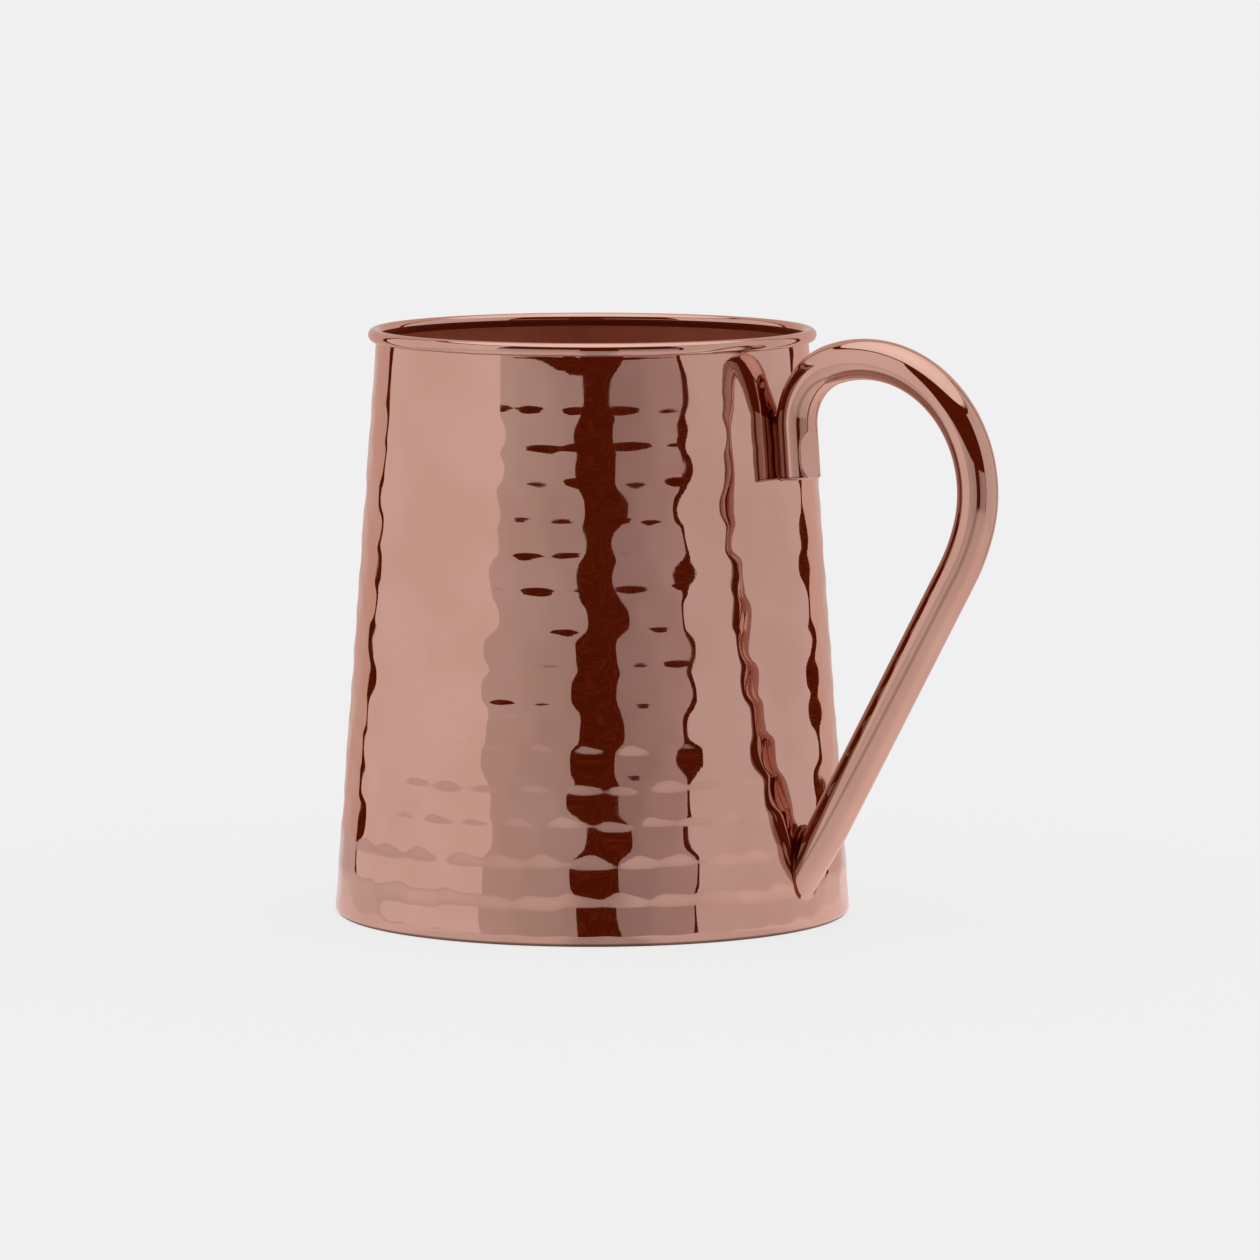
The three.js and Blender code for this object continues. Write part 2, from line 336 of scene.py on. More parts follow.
def filler_metal(name, shade):
    """Brazing or solder metal that has flowed: small ripples, duller than the sheet."""

    def recipe_of(recipe):
        patches = recipe.between(recipe.speckle(2.5 * MM, 4.0, 0.6), 0.4, 0.7)
        tone = recipe.blend(patches, shade, tuple(0.8 * part for part in shade))
        pits = recipe.speckle(0.35 * MM, 3.0, 0.6)
        roughness = 0.1 + 0.12 * patches + 0.05 * pits
        normal = recipe.bump(recipe.speckle(1.4 * MM, 3.0, 0.5) + 0.25 * pits, 0.02 * MM)
        return tone, roughness, normal

    return metal(name, recipe_of)


def drawn_steel(name, finish):
    """Drawn steel wire, slightly grimy."""

    def recipe_of(recipe):
        grime = recipe.between(recipe.speckle(3 * MM, 4.0, 0.6), 0.45, 0.7)
        dark = tuple(0.5 * part for part in finish.steel)
        shade = recipe.blend(grime, finish.steel, dark)
        lines = recipe.speckle(0.2 * MM, 2.0)
        return shade, 0.3 + 0.2 * grime, recipe.bump(lines, 0.004 * MM)

    return metal(name, recipe_of)


def card_glow(name, shade, soft=False):
    """A lit card's light, as its glow attribute says; a soft card thins out as its cover attribute says."""
    material, recipe = empty_material(name)
    paler = tuple(part * gain for part, gain in zip(shade, (0.92, 1.12, 1.25)))
    glow = recipe.add("ShaderNodeAttribute", {"attribute_name": "glow"})["Fac"]
    tint = recipe.blend(recipe.seen_twice(), shade, paler)
    scaled = recipe.add("ShaderNodeVectorMath", {"operation": "SCALE"}, {0: tint, "Scale": glow})["Vector"]
    light = recipe.add("ShaderNodeEmission", None, {"Color": scaled, "Strength": 1.0})["Emission"]
    if soft:
        cover = recipe.add("ShaderNodeAttribute", {"attribute_name": "cover"})["Fac"]
        clear = recipe.add("ShaderNodeBsdfTransparent")["BSDF"]
        light = recipe.add("ShaderNodeMixShader", None, {0: cover, 1: clear, 2: light})["Shader"]
    recipe.add("ShaderNodeOutputMaterial", None, {"Surface": light})
    material.cycles.emission_sampling = "NONE"
    return material


# ---------------------------------------------------------------------------------------------------------
# Modelling


def pick_all():
    bpy.ops.mesh.select_all(action="SELECT")


def drop_all():
    bpy.ops.object.select_all(action="DESELECT")


def make_active(piece):
    drop_all()
    piece.select_set(True)
    bpy.context.view_layer.objects.active = piece


def edit(piece):
    make_active(piece)
    bpy.ops.object.mode_set(mode="EDIT")


def leave_edit():
    bpy.ops.object.mode_set(mode="OBJECT")


def face_outwards(piece):
    edit(piece)
    pick_all()
    bpy.ops.mesh.normals_make_consistent(inside=False)
    leave_edit()


def named(name):
    piece = bpy.context.object
    piece.name = name
    piece.data.name = name
    return piece


def start_at(name, point):
    """A new piece in edit mode that holds one vertex, at a point."""
    drop_all()
    bpy.ops.mesh.primitive_plane_add(size=MM)
    piece = named(name)
    bpy.ops.object.mode_set(mode="EDIT")
    bpy.ops.mesh.select_mode(type="VERT")
    pick_all()
    bpy.ops.mesh.merge(type="CENTER")
    bpy.ops.transform.translate(value=point)
    return piece


def turned_piece(name, profile, steps):
    """Draw a closed profile of radii and heights from its first point, and spin it round the Z axis."""
    piece = start_at(name, (profile[0][0], 0, profile[0][1]))
    for start, end in zip(profile, profile[1:]):
        step = (end[0] - start[0], 0, end[1] - start[1])
        bpy.ops.mesh.extrude_region_move(TRANSFORM_OT_translate={"value": step})
    pick_all()
    bpy.ops.mesh.remove_doubles(threshold=SAME_PLACE)
    pick_all()
    bpy.ops.mesh.spin(steps=steps, angle=TURN, center=(0, 0, 0), axis=(0, 0, 1))
    pick_all()
    bpy.ops.mesh.remove_doubles(threshold=SAME_PLACE)
    bpy.ops.mesh.normals_make_consistent(inside=False)
    leave_edit()
    return piece


def finish_piece(piece, replaced, material, smooth_angle):
    """Smooth it, give it its finish, hang it on the root body, and hide the part it stands for."""
    make_active(piece)
    bpy.ops.object.transform_apply(location=True, rotation=True, scale=True)
    bpy.ops.object.shade_smooth_by_angle(angle=smooth_angle)
    piece.data.materials.clear()
    piece.data.materials.append(material)
    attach(piece, "root")
    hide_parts(replaced)


def arc(centre, radius, start, end, step):
    """Points on an arc, both ends included, no further apart than a step."""
    count = max(2, math.ceil(abs(end - start) * radius / step))
    points = []
    for i in range(count + 1):
        angle = start + (end - start) * i / count
        points.append((centre[0] + radius * math.cos(angle), centre[1] + radius * math.sin(angle)))
    return points


def line(start, end, step):
    """Points from a start to an end, without the start."""
    count = max(1, math.ceil(math.dist(start, end) / step))
    spread = []
    for i in range(1, count + 1):
        share = i / count
        spread.append((start[0] + (end[0] - start[0]) * share, start[1] + (end[1] - start[1]) * share))
    return spread


class Wall:
    """The wall's lines, worked out from the mug's sizes."""

    def __init__(self, sizes):
        self.sizes = sizes
        self.curl = sizes.bore_radius + sizes.sheet
        self.neck = sizes.height - 2 * self.curl
        self.slope = (sizes.foot_radius - sizes.neck_radius) / (self.neck - sizes.foot_bend)
        self.lean = math.atan(self.slope)
        self.curl_centre = (self.inner(self.neck) - sizes.stand_in + self.curl, sizes.height - self.curl)
        self.lip = sizes.foot_radius - sizes.lip_width

    def outer(self, height):
        return self.sizes.foot_radius - self.slope * (height - self.sizes.foot_bend)

    def inner(self, height):
        return self.outer(height) - self.sizes.sheet


def wall_profile(wall, step):
    """Lip, foot bend, outside of the wall, into the curl and back over it, then down the inside."""
    sizes = wall.sizes
    bend = (sizes.foot_radius - sizes.foot_bend, sizes.foot_bend)
    points = [(wall.lip, 0)]
    points += arc(bend, sizes.foot_bend, -90 * DEG, 0, 0.4 * step)
    points += line(points[-1], (wall.outer(wall.neck - 6 * MM), wall.neck - 6 * MM), step)
    points += line(points[-1], (wall.outer(wall.neck), wall.neck), 0.5 * step)
    bore = arc(wall.curl_centre, sizes.bore_radius, 226 * DEG, -95 * DEG, 0.5 * step)
    points += line(points[-1], bore[0], 0.6 * step)[:-1]
    points += bore
    points += arc(wall.curl_centre, wall.curl, -95 * DEG, 180 * DEG, 0.3 * step)
    points += line(points[-1], (wall.inner(wall.neck), wall.neck), 1.2 * step)
    inner_bend = arc(bend, sizes.foot_bend - sizes.sheet, 0, -90 * DEG, 0.5 * step)
    points += line(points[-1], inner_bend[0], 2.6 * step)[:-1]
    points += inner_bend
    points += [(wall.lip, sizes.sheet), (wall.lip, 0)]
    return points


def above_foot(wall):
    """Height just above the foot's bend, where the hammering ends."""
    return wall.sizes.foot_bend + 0.2 * MM


def hammer_rows(marks, wall):
    """For each row of blows its height, and round it each blow's angle, height, size and depth."""
    chance = random.Random(marks.seed)
    rows = []
    for row in range(marks.rows):
        middle = marks.top - marks.pitch * row + chance.uniform(-0.55, 0.55) * MM
        radius = wall.outer(middle)
        count = round(TURN * radius / marks.spacing)
        phase = chance.uniform(0, TURN / count)
        blows = []
        force = 0.92 + 0.02 * min(row, 11)
        if row == marks.rows - 1:
            force *= 0.75
        for place in range(count):
            angle = phase + TURN * (place + chance.uniform(-0.19, 0.19)) / count
            blow = {
                "angle": angle,
                "height": middle + chance.uniform(-0.45, 0.45) * MM,
                "half_width": marks.half_width * chance.uniform(0.82, 1.13),
                "half_height": marks.half_height * chance.uniform(0.96, 1.05),
                "depth": marks.depth * chance.uniform(0.76, 1.2) * force,
                "ease_above": 2.0 if row == 0 else 1.0,
            }
            room = (blow["height"] - above_foot(wall)) / blow["half_height"]
            blow["ease_below"] = min(1 + 0.09 * max(row - 8, 0), room)
            blows.append(blow)
        rows.append((middle, blows))
    return rows


def hollow_at(blow, angle, height, radius):
    """Depth of one blow's hollow at a place on the wall."""
    around = (angle - blow["angle"] + math.pi) % TURN - math.pi
    across = around * radius / blow["half_width"]
    up = (height - blow["height"]) / blow["half_height"]
    up /= blow["ease_above"] if up > 0 else blow["ease_below"]
    reach = 1 - across * across - up * up
    if reach <= 0:
        return 0.0
    return blow["depth"] * reach**1.5


def soft_larger(first, second, width):
    """The larger of two depths, with the crease between them polished round."""
    overlap = max(width - abs(first - second), 0) / width
    return max(first, second) + 0.25 * width * overlap * overlap


def marks_depth(rows, marks, angle, height, radius):
    depth = 0.0
    for middle, blows in rows:
        if abs(height - middle) > marks.half_height * 2.2:
            continue
        count = len(blows)
        nearest = round(((angle - blows[0]["angle"]) % TURN) / TURN * count)
        for place in range(nearest - 2, nearest + 3):
            hollow = hollow_at(blows[place % count], angle, height, radius)
            if hollow > 0:
                depth = soft_larger(depth, hollow, marks.polish) if depth > 0 else hollow
    return depth


def drawn_in_depth(wall, marks, angle, height):
    """How far the wall is drawn in under the rim: a little all round, and well over one stretch."""
    around = (angle - marks.drawn_turn + math.pi) % TURN - math.pi
    spot = Vector((math.cos(angle), math.sin(angle), 0)) * wall.sizes.neck_radius / (15 * MM)
    share = math.exp(-((around / marks.drawn_width) ** 2)) + 0.28 * noise.noise(spot) + 0.05
    share = min(max(share, 0.0), 1.0)
    reach = (1.2 + 4.6 * share) * MM
    below = (wall.neck - height) / reach
    if below >= 1:
        return 0.0
    slope = 0.06 + 0.1 * share
    fading = min(max((wall.neck + 0.8 * MM - height) / (0.7 * MM), 0.0), 1.0)
    return 0.5 * slope * reach * (1 - max(below, 0.0)) ** 2 * fading


def hammer(piece, wall, marks):
    """Sink the wall under each blow, outside and inside alike, as sheet moves."""
    rows = hammer_rows(marks, wall)
    lowest = above_foot(wall)
    highest = rows[0][0] + marks.half_height * 2.2
    rise = math.sin(wall.lean)
    level = math.cos(wall.lean)
    for vertex in piece.data.vertices:
        place = vertex.co
        if not lowest < place.z < wall.neck + 0.8 * MM:
            continue
        radius = math.hypot(place.x, place.y)
        if place.z >= wall.neck and radius > wall.outer(wall.neck) + 0.05 * MM:
            continue
        angle = math.atan2(place.y, place.x)
        depth = drawn_in_depth(wall, marks, angle, place.z)
        if place.z < highest:
            depth += marks_depth(rows, marks, angle, place.z, radius)
        shrink = 1 - depth * level / radius
        vertex.co = (place.x * shrink, place.y * shrink, place.z - depth * rise)


def ruffle_curl_tip(piece, wall):
    """The curl's edge against the wall wavers slightly, as a rolled edge does."""
    for vertex in piece.data.vertices:
        place = vertex.co
        radius = math.hypot(place.x, place.y)
        below = wall.curl_centre[1] - place.z
        if below < 0.35 * wall.curl or radius < wall.curl_centre[0] - 0.1 * wall.curl:
            continue
        if place.z < wall.neck - 0.3 * MM:
            continue
        spot = Vector((place.x, place.y, 0)) / (5 * MM)
        waver = noise.noise(spot) + 0.5 * noise.noise(spot * 3)
        vertex.co.z += 0.07 * MM * waver * below / wall.curl


class Bar:
    """The handle bar's centre line: each stretch's start, heading and length or bend."""

    def __init__(self, sizes, wall):
        offset = (sizes.bar + sizes.gap) / math.cos(wall.lean)
        self.wall = wall
        self.sizes = sizes
        self.heading = math.pi / 2 + wall.lean
        self.tail_end = self.beside_wall(wall.sizes.height - sizes.tail_end, offset)
        self.tail_top = self.beside_wall(wall.sizes.height - sizes.tail_top, offset)
        self.first = self.bend(self.tail_top, self.heading, sizes.tail_bend, sizes.tail_turn)
        self.second = self.bend(self.first["end"], self.first["heading"], sizes.top_bend, sizes.top_turn)
        self.foot = Vector((wall.outer(sizes.foot), 0, sizes.foot))
        self.third = self.last_bend()

    def beside_wall(self, height, offset):
        return Vector((self.wall.outer(height) + offset, 0, height))

    def ahead(self, heading):
        return Vector((math.cos(heading), 0, math.sin(heading)))

    def right(self, heading):
        return Vector((math.sin(heading), 0, -math.cos(heading)))

    def bend(self, start, heading, radius, angle):
        centre = start + self.right(heading) * radius
        end = centre - self.right(heading - angle) * radius
        return {"centre": centre, "radius": radius, "angle": angle, "end": end, "heading": heading - angle}

    def last_bend(self):
        """Turn until the bar points at its foot."""
        start = self.second["end"]
        heading = self.second["heading"]
        radius = self.sizes.hip_bend
        centre = start + self.right(heading) * radius
        away = self.foot - centre
        straight = math.sqrt(away.length_squared - radius * radius)
        aim = math.atan2(away.z, away.x) - math.atan2(radius, straight)
        return self.bend(start, heading, radius, (heading - aim) % TURN)


def spin_bend(bend, step):
    steps = max(4, math.ceil(bend["angle"] * bend["radius"] / step))
    bpy.ops.mesh.spin(steps=steps, angle=-bend["angle"], center=bend["centre"], axis=(0, 1, 0))


def push_straight(direction, distance, steps):
    for _ in range(steps):
        move = {"value": direction * (distance / steps)}
        bpy.ops.mesh.extrude_region_move(TRANSFORM_OT_translate=move)


def dressed(point, bar):
    """Near its foot the bar's underside is filed back, so that it runs into the wall higher up."""
    direction = bar.ahead(bar.third["heading"])
    offset = point - bar.foot
    outer = Vector((-direction.z, 0, direction.x))
    share = min(max((offset.dot(direction) + 10 * MM) / (9 * MM), 0.0), 1.0)
    below = min(max(offset.dot(outer) / bar.sizes.bar, 0.0), 1.0)
    return point - outer * bar.sizes.toe_filing * share * share * (3 - 2 * share) * below * below


def sink_to_wall(point, direction, wall, gap):
    """Slide a point along a direction until it stands a gap off the wall."""
    low = -30 * MM
    high = 30 * MM
    for _ in range(40):
        middle = 0.5 * (low + high)
        trial = point + direction * middle
        outside = math.hypot(trial.x, trial.y) > wall.outer(trial.z) + gap
        low, high = (middle, high) if outside else (low, middle)
    return point + direction * low


def cut_foot(piece, bar):
    """Cope the bar's last ring to the wall."""
    direction = bar.ahead(bar.third["heading"])
    beyond = bar.foot + direction * 8 * MM
    for vertex in piece.data.vertices:
        if vertex.co.z > 0.4 * bar.wall.neck:
            continue
        if abs((vertex.co - beyond).dot(direction)) < 0.5 * MM:
            end = dressed(vertex.co - direction * 8 * MM, bar)
            vertex.co = sink_to_wall(end, direction, bar.wall, 0.1 * MM)
        else:
            vertex.co = dressed(vertex.co, bar)


def press_tail(piece, bar):
    """Where the tail was clamped against the wall its outer side has an oval flat, turned to one side."""
    wall = bar.wall
    along = bar.ahead(bar.heading)
    middle = bar.tail_end + along * 4.4 * MM
    square_out = Vector((math.cos(wall.lean), 0, math.sin(wall.lean)))
    out = square_out * math.cos(bar.sizes.press_turn) - Vector((0, 1, 0)) * math.sin(bar.sizes.press_turn)
    flat_at = bar.sizes.bar - bar.sizes.press_depth
    half = 4.3 * MM
    for vertex in piece.data.vertices:
        offset = vertex.co - middle
        up = offset.dot(along)
        outward = offset.dot(out)
        if abs(up) > half or outward < 0 or offset.dot(square_out) > 2 * bar.sizes.bar:
            continue
        limit = flat_at + bar.sizes.press_depth * (abs(up) / half) ** 3
        if outward > limit:
            vertex.co -= out * (outward - limit) * 0.92


def round_tail_end(piece, bar):
    along = bar.ahead(bar.heading)
    edit(piece)
    bpy.ops.mesh.select_mode(type="FACE")
    bpy.ops.mesh.select_all(action="DESELECT")
    leave_edit()
    for face in piece.data.polygons:
        beyond = (face.center - bar.tail_end).dot(along)
        face.select = abs(beyond) < 0.05 * MM and face.normal.dot(along) < -0.9
    edit(piece)
    bpy.ops.mesh.bevel(offset=0.7 * MM, offset_type="OFFSET", segments=5, profile=0.5, affect="EDGES")
    leave_edit()


def bent_bar(name, bar):
    """Stand a disc at the tail's end, and push and spin it along the bar's whole line."""
    sizes = bar.sizes
    tilt = math.pi / 2 - bar.heading
    drop_all()
    bpy.ops.mesh.primitive_circle_add(
        vertices=96, radius=sizes.bar, fill_type="NGON", location=bar.tail_end, rotation=(0, tilt, 0)
    )
    piece = named(name)
    bpy.ops.object.transform_apply(location=True, rotation=True, scale=True)
    bpy.ops.object.mode_set(mode="EDIT")
    pick_all()
    push_straight(bar.ahead(bar.heading), (bar.tail_top - bar.tail_end).length, 22)
    for bend in (bar.first, bar.second, bar.third):
        spin_bend(bend, 0.9 * MM)
    direction = bar.ahead(bar.third["heading"])
    straight = (bar.foot - bar.third["end"]).length
    push_straight(direction, straight - 13 * MM, 20)
    push_straight(direction, 5 * MM, 8)
    push_straight(direction, 16 * MM, 1)
    pick_all()
    bpy.ops.mesh.remove_doubles(threshold=SAME_PLACE)
    bpy.ops.mesh.normals_make_consistent(inside=False)
    leave_edit()
    return piece


def tail_frame(bar):
    wall = bar.wall
    out = Vector((math.cos(wall.lean), 0, math.sin(wall.lean)))
    return out, bar.ahead(bar.heading)


def upper_fillet(name, bar):
    """Braze under the tail and up its sides: a strip whose sides are hollow, tapering at both ends."""
    sizes = bar.sizes
    wall = bar.wall
    out, along = tail_frame(bar)
    bottom = bar.tail_end - along * 0.5 * MM
    top = bar.tail_top + along * 2.6 * MM
    span = (top - bottom).length
    side_points = 12
    count = 2 * side_points + 12
    drop_all()
    bpy.ops.mesh.primitive_circle_add(vertices=count, radius=sizes.bar, fill_type="NGON")
    piece = named(name)
    bpy.ops.object.mode_set(mode="EDIT")
    pick_all()
    push_straight(Vector((0, 0, 1)), span, 32)
    leave_edit()
    reach = 20 * DEG
    for vertex in piece.data.vertices:
        height = vertex.co.z
        angle = math.atan2(vertex.co.y, vertex.co.x)
        share = height / span
        ends = min(height / (1.6 * MM), (span - height) / (2.4 * MM), 1.0)
        swell = math.sqrt(max(1 - (1 - ends) ** 2, 0.0))
        tip = Vector((math.cos(angle), math.sin(angle)))
        half = (sizes.bar * math.sin(reach) + sizes.fillet) * (0.25 + 0.75 * swell)
        across = half * tip.y
        lift = sizes.gap + sizes.bar * (1 - math.sqrt(max(1 - (across / sizes.bar) ** 2, 0.0)))
        crown = (lift + 0.25 * MM) * swell
        if tip.x < 0:
            rise = -0.35 * MM
        else:
            hollow = max(0.0, abs(tip.y) - 0.72) / 0.28
            rise = crown * (1 - hollow**1.2) - 0.1 * MM * hollow
        centre = bottom + along * height
        skin = wall.outer(centre.z)
        bow = skin - math.sqrt(skin * skin - across * across)
        base = Vector((skin, 0, centre.z))
        vertex.co = base + out * (rise - bow) + Vector((0, across, 0))
        vertex.co.y += 0.06 * MM * noise.noise(Vector((share * 9, tip.y * 2, 0)))
    face_outwards(piece)
    return piece


def foot_contact(bar, around):
    """Where the bar's skin meets the wall, and the ways out along the bar's radius and along the wall."""
    direction = bar.ahead(bar.third["heading"])
    side = Vector((0, 1, 0))
    spoke = direction.cross(side) * math.cos(around) + side * math.sin(around)
    start = dressed(bar.foot + spoke * bar.sizes.bar, bar) - direction * 12 * MM
    contact = sink_to_wall(start, direction, bar.wall, 0)
    out = Vector((contact.x, contact.y, 0)).normalized() * math.cos(bar.wall.lean)
    out.z = math.sin(bar.wall.lean)
    along_wall = (spoke - out * spoke.dot(out)).normalized()
    return contact, spoke, along_wall, out


def lower_fillet(name, bar):
    """Braze round the foot's slanting cut: thin beside the bar, and dressed to a long blend below it."""
    sizes = bar.sizes
    sections = 14
    drop_all()
    bpy.ops.mesh.primitive_torus_add(
        major_segments=160, minor_segments=sections, major_radius=sizes.bar, minor_radius=0.3 * MM
    )
    piece = named(name)
    direction = bar.ahead(bar.third["heading"])
    for vertex in piece.data.vertices:
        place = vertex.co
        around = math.atan2(place.y, place.x)
        section = math.atan2(place.z, math.hypot(place.x, place.y) - sizes.bar)
        turn_place = round(section / TURN * sections) % sections
        contact, spoke, along_wall, out = foot_contact(bar, around)
        below = max(0.0, -math.cos(around)) ** 2
        waver = 1 + 0.2 * noise.noise(contact / (4 * MM))
        on_wall = contact + along_wall * (sizes.fillet + 1.6 * MM * below) * waver
        on_bar = contact - direction * (1.4 * sizes.fillet + 3.0 * MM * below) * waver
        on_wall -= out * 0.03 * MM
        on_bar -= spoke * 0.03 * MM
        if turn_place <= sections - 4:
            share = turn_place / (sections - 4)
            vertex.co = on_wall * (1 - share) ** 2 + contact * 2 * share * (1 - share) + on_bar * share**2
        elif turn_place == sections - 3:
            vertex.co = on_bar - spoke * 0.25 * MM
        elif turn_place == sections - 2:
            vertex.co = contact - spoke * 0.25 * MM - out * 0.05 * MM
        else:
            vertex.co = on_wall - out * 0.2 * MM
    face_outwards(piece)
    return piece


def plate_profile(sizes, wall):
    """The base plate's section, from the middle of its top round to the middle of its underside."""
    step = 1.2 * MM
    soft = 0.3 * sizes.plate
    panel = wall.lip - 0.25 * MM
    seat = sizes.plate_top - sizes.plate
    joggle = panel - sizes.plate
    points = [(0, sizes.plate)]
    points += line(points[0], (joggle - soft, sizes.plate), step)
    points += arc((joggle - soft, sizes.plate + soft), soft, -90 * DEG, -15 * DEG, 0.08 * MM)[1:]
    points += arc((joggle + soft, sizes.plate_top - soft), soft, 165 * DEG, 90 * DEG, 0.08 * MM)
    points += line(points[-1], (sizes.plate_radius - 0.15 * MM, sizes.plate_top), 0.7 * MM)
    points += [(sizes.plate_radius, sizes.plate_top - 0.15 * MM), (sizes.plate_radius, seat)]
    points += line(points[-1], (panel, seat), 0.7 * MM)
    points += line(points[-1], (panel, soft), 0.2 * MM)
    points += arc((panel - soft, soft), soft, 0, -90 * DEG, 0.08 * MM)[1:]
    points += line(points[-1], (0, 0), step)
    return points


def seam_profile(sizes, wall):
    """The solder fillet's section, in the corner of the plate and the wall."""
    bottom = sizes.plate_top + 0.02 * MM
    heel = (wall.inner(bottom) - 0.02 * MM, bottom)
    peak = (wall.inner(bottom + 1.75 * MM) - 0.02 * MM, bottom + 1.75 * MM)
    toe = (heel[0] - 2.15 * MM, bottom)
    points = [toe, heel, peak]
    for i in range(1, 10):
        share = i / 10
        corner = (heel[0] - 0.55 * MM, bottom + 0.5 * MM)
        x = (1 - share) ** 2 * peak[0] + 2 * share * (1 - share) * corner[0] + share**2 * toe[0]
        z = (1 - share) ** 2 * peak[1] + 2 * share * (1 - share) * corner[1] + share**2 * toe[1]
        points.append((x, z))
    points.append(toe)
    return points


def ripple_seam(piece, sizes, wall):
    """The solder's free face is rippled along its length, as it cooled."""
    for vertex in piece.data.vertices:
        place = vertex.co
        radius = math.hypot(place.x, place.y)
        off_wall = wall.inner(place.z) - 0.1 * MM - radius
        over_plate = place.z - sizes.plate_top - 0.1 * MM
        if off_wall <= 0 or over_plate <= 0:
            continue
        spot = Vector((place.x, place.y, place.z)) / (2.6 * MM)
        swell = 0.16 * MM * noise.noise(spot)
        vertex.co.x -= swell * place.x / radius
        vertex.co.y -= swell * place.y / radius
        vertex.co.z += 0.6 * swell


# ---------------------------------------------------------------------------------------------------------
# Operators: one for each piece or group of like pieces, and one for the stage


class MUG_OT_wall(bpy.types.Operator):
    """Spin the wall with its rolled rim and turned-in foot, and hammer it"""

    bl_idname = "mug.wall"
    bl_label = "Hammered wall"

    def execute(self, context):
        scene = context.scene
        wall = Wall(scene.mug_sizes)
        step = 0.68 * MM
        turns = 350
        piece = turned_piece("hammered_wall", wall_profile(wall, step), turns)
        hammer(piece, wall, scene.mug_marks)
        ruffle_curl_tip(piece, wall)
        under_rim = wall.neck - 5 * MM
        copper = polished_copper("hammered_copper_polish", scene.mug_finish, (1.0, 1.0, 0.08), under_rim)
        finish_piece(piece, "body_wall", copper, 40 * DEG)
        piece.data.materials.append(satin_copper("inside_satin_copper", scene.mug_finish))
        for face in piece.data.polygons:
            outward = Vector((face.center.x, face.center.y, 0)).normalized()
            if face.normal.dot(outward) < -0.5 and face.center.z < wall.neck:
                face.material_index = 1
        return {"FINISHED"}


class MUG_OT_wire(bpy.types.Operator):
    """Finish the wire inside the rolled rim"""

    bl_idname = "mug.wire"
    bl_label = "Rim wire"

    def execute(self, context):
        wire = bpy.data.objects["rim_wire"]
        wire.data.materials.clear()
        wire.data.materials.append(drawn_steel("rim_wire_steel", context.scene.mug_finish))
        return {"FINISHED"}


class MUG_OT_base(bpy.types.Operator):
    """Turn the base plate and its solder seam"""

    bl_idname = "mug.base"
    bl_label = "Base plate and seam"

    def execute(self, context):
        sizes = context.scene.mug_sizes
        finish = context.scene.mug_finish
        wall = Wall(sizes)
        plate = turned_piece("joggled_base_plate", plate_profile(sizes, wall), 160)
        satin = satin_copper("base_satin_copper", finish, True)
        finish_piece(plate, "base_plate", satin, 35 * DEG)
        seam = turned_piece("rippled_solder_seam", seam_profile(sizes, wall), 240)
        ripple_seam(seam, sizes, wall)
        solder = filler_metal("seam_solder", finish.solder)
        finish_piece(seam, "base_solder_seam", solder, 50 * DEG)
        return {"FINISHED"}


class MUG_OT_handle(bpy.types.Operator):
    """Bend the bar handle, cope its foot and press its tail"""

    bl_idname = "mug.handle"
    bl_label = "Bar handle"

    def execute(self, context):
        scene = context.scene
        bar = Bar(scene.mug_handle, Wall(scene.mug_sizes))
        piece = bent_bar("bent_handle_bar", bar)
        cut_foot(piece, bar)
        press_tail(piece, bar)
        round_tail_end(piece, bar)
        copper = polished_copper("handle_copper_polish", scene.mug_finish, (1.0, 1.0, 1.0))
        finish_piece(piece, "handle_bar", copper, 40 * DEG)
        return {"FINISHED"}


class MUG_OT_brazes(bpy.types.Operator):
    """Lay the brazed fillets at the handle's tail and foot"""

    bl_idname = "mug.brazes"
    bl_label = "Brazed fillets"

    def execute(self, context):
        scene = context.scene
        finish = scene.mug_finish
        bar = Bar(scene.mug_handle, Wall(scene.mug_sizes))
        # The fillets are real brazes, but their dark red-brown colour is painted shade for the crevices along
        # the handle's joints.
        braze_painted_crevice_shade = filler_metal("handle_braze", finish.braze)
        upper = upper_fillet("tail_braze_fillet", bar)
        finish_piece(upper, "upper_handle_braze", braze_painted_crevice_shade, 60 * DEG)
        lower = lower_fillet("foot_braze_fillet", bar)
        finish_piece(lower, "lower_handle_braze", braze_painted_crevice_shade, 60 * DEG)
        lower.data.materials.append(polished_copper("dressed_braze_polish", finish, (1.0, 1.0, 1.0)))
        for face in lower.data.polygons:
            face.material_index = int(face.center.z < bar.foot.z and abs(face.center.y) < 0.6 * bar.sizes.bar)
        return {"FINISHED"}


def point_values(piece, name):
    return piece.data.attributes.new(name, "FLOAT", "POINT")


def stage_only(obj, camera_sees, mirrors_see):
    obj.visible_camera = camera_sees
    obj.visible_diffuse = camera_sees
    obj.visible_shadow = camera_sees
    obj.visible_glossy = mirrors_see


